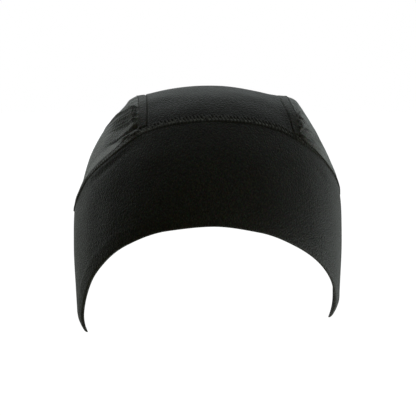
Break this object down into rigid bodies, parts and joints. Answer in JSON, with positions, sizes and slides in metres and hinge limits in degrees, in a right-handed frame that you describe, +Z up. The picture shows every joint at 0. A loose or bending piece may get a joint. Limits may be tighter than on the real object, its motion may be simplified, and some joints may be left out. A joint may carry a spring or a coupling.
{
  "type": "softshell beanie",
  "caption": "Close-fitting black softshell beanie with a deep band over the forehead and ears and a crown of panels gathered at the side seams.",
  "frame": {"origin": "on the inner face of the crown at its highest point, where the top of the head bears", "axes": "+Z up, -Y the front of the hat (the forehead side), +Y the back, +X on the right of someone who looks at the front"},
  "size_m": [0.163, 0.1941, 0.1493],
  "materials": {
    "band_softshell": "matt black stretch softshell with a fine knitted grain and a slight nap",
    "crown_softshell": "the same softshell, a little worn, with black overlock seams",
    "side_softshell": "thinner dark grey black stretch softshell, gathered at the seams"
  },
  "bodies": {
    "root": {"softshell_band": "band_softshell", "crown_centre": "crown_softshell", "crown_side_left": "side_softshell", "crown_side_right": "side_softshell"}
  },
  "joints": []
}
